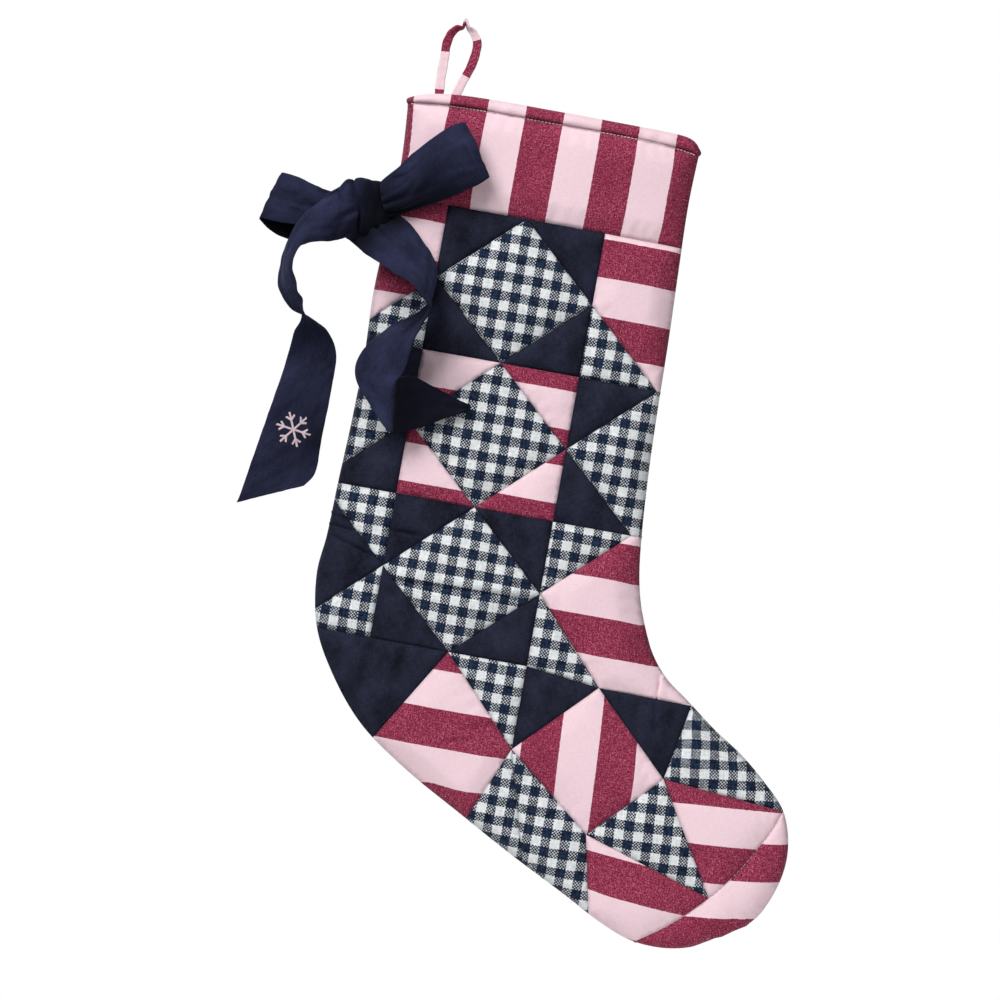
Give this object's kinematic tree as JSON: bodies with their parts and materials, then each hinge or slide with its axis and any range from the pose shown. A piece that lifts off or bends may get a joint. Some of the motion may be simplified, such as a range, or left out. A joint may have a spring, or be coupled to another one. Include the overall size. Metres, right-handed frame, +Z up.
{
  "type": "hanging stocking",
  "caption": "Quilted patchwork Christmas stocking with a striped cuff, a folded strap loop at the heel-side corner and a navy ribbon bow tacked to the side seam.",
  "frame": {"origin": "inside the top of the hanging loop, where the hook bears", "axes": "+Z up, +X to the right seen from the front with the toe pointing right, the quilted front faces -Y"},
  "size_m": [0.3446, 0.0737, 0.5816],
  "materials": {
    "gingham_cotton": "woven navy and off-white gingham, 6 mm checks",
    "striped_cotton": "woven pink and burgundy stripes 24 mm wide, burgundy in a flecked chambray weave",
    "navy_cotton": "matte dark navy plain weave",
    "lining_cotton": "matte off-white plain weave",
    "batting": "soft white wadding",
    "ribbon_cotton": "navy linen-cotton ribbon with a fine slub and pressed edges",
    "thread": "pale pink embroidery and sewing thread"
  },
  "bodies": {
    "hanging_loop": {"hanging_loop": "striped_cotton"},
    "stocking": {"patch_a1_all_but_lower_right": "striped_cotton", "patch_a1_lower_right": "gingham_cotton", "patch_b1_middle": "gingham_cotton", "patch_b1_upper_left": "navy_cotton", "patch_b1_upper_right": "navy_cotton", "patch_b1_lower_right": "navy_cotton", "patch_b1_lower_left": "navy_cotton", "patch_c1_all_but_lower_left": "striped_cotton", "patch_c1_lower_left": "gingham_cotton", "patch_a2_middle": "gingham_cotton", "patch_a2_upper_right": "navy_cotton", "patch_a2_lower_right": "navy_cotton", "patch_b2_middle": "gingham_cotton", "patch_b2_upper_left": "striped_cotton", "patch_b2_upper_right": "striped_cotton", "patch_b2_lower_right": "striped_cotton", "patch_b2_lower_left": "striped_cotton", "patch_c2_middle_to_toe_side": "gingham_cotton", "patch_c2_upper_left": "navy_cotton", "patch_c2_lower_left": "navy_cotton", "patch_a3_middle": "navy_cotton", "patch_a3_upper_right": "gingham_cotton", "patch_a3_lower_right": "gingham_cotton", "patch_b3_middle": "gingham_cotton", "patch_b3_upper_left": "navy_cotton", "patch_b3_upper_right": "navy_cotton", "patch_b3_lower_right": "navy_cotton", "patch_b3_lower_left": "navy_cotton", "patch_c3_upper_left": "gingham_cotton", "patch_c3_middle": "striped_cotton", "patch_c3_lower_left": "gingham_cotton", "patch_heel": "navy_cotton", "patch_b4_middle": "striped_cotton", "patch_b4_upper_right": "gingham_cotton", "patch_b4_lower_right": "gingham_cotton", "patch_c4_upper_left": "navy_cotton", "patch_c4_upper_right": "navy_cotton", "patch_c4_middle": "striped_cotton", "patch_c4_lower_left": "gingham_cotton", "patch_c4_lower_right": "gingham_cotton", "patch_vamp": "gingham_cotton", "patch_toe_upper": "striped_cotton", "patch_toe_lower": "striped_cotton", "patch_toe_cap": "striped_cotton", "cuff_front": "striped_cotton", "cuff_back": "striped_cotton", "back_panel": "navy_cotton", "front_batting": "batting", "front_lining": "lining_cotton", "back_batting": "batting", "back_lining": "lining_cotton", "cuff_topstitch": "thread"},
    "bow": {"bow_knot": "ribbon_cotton", "bow_loop_left": "ribbon_cotton", "bow_loop_right": "ribbon_cotton"},
    "tail_left": {"bow_tail_left": "ribbon_cotton", "embroidered_snowflake": "thread"},
    "tail_right": {"bow_tail_right": "ribbon_cotton"}
  },
  "joints": [
    {"name": "stocking_swing", "type": "hinge", "parent": "hanging_loop", "child": "stocking", "pos_m": [-0.01, 0.0021, -0.0437], "axis": [0.9839, 0, -0.1788], "range_deg": [-60, 40]},
    {"name": "bow_swivel", "type": "hinge", "parent": "stocking", "child": "bow", "pos_m": [-0.048, -0.006, -0.112], "axis": [0, 1, 0], "range_deg": [-12, 12]},
    {"name": "left_tail_lift", "type": "hinge", "parent": "bow", "child": "tail_left", "pos_m": [-0.075, -0.021, -0.106], "axis": [-1, 0, 0], "range_deg": [0, 60]},
    {"name": "right_tail_lift", "type": "hinge", "parent": "bow", "child": "tail_right", "pos_m": [-0.058, -0.02, -0.116], "axis": [-1, 0, 0], "range_deg": [0, 60]}
  ]
}
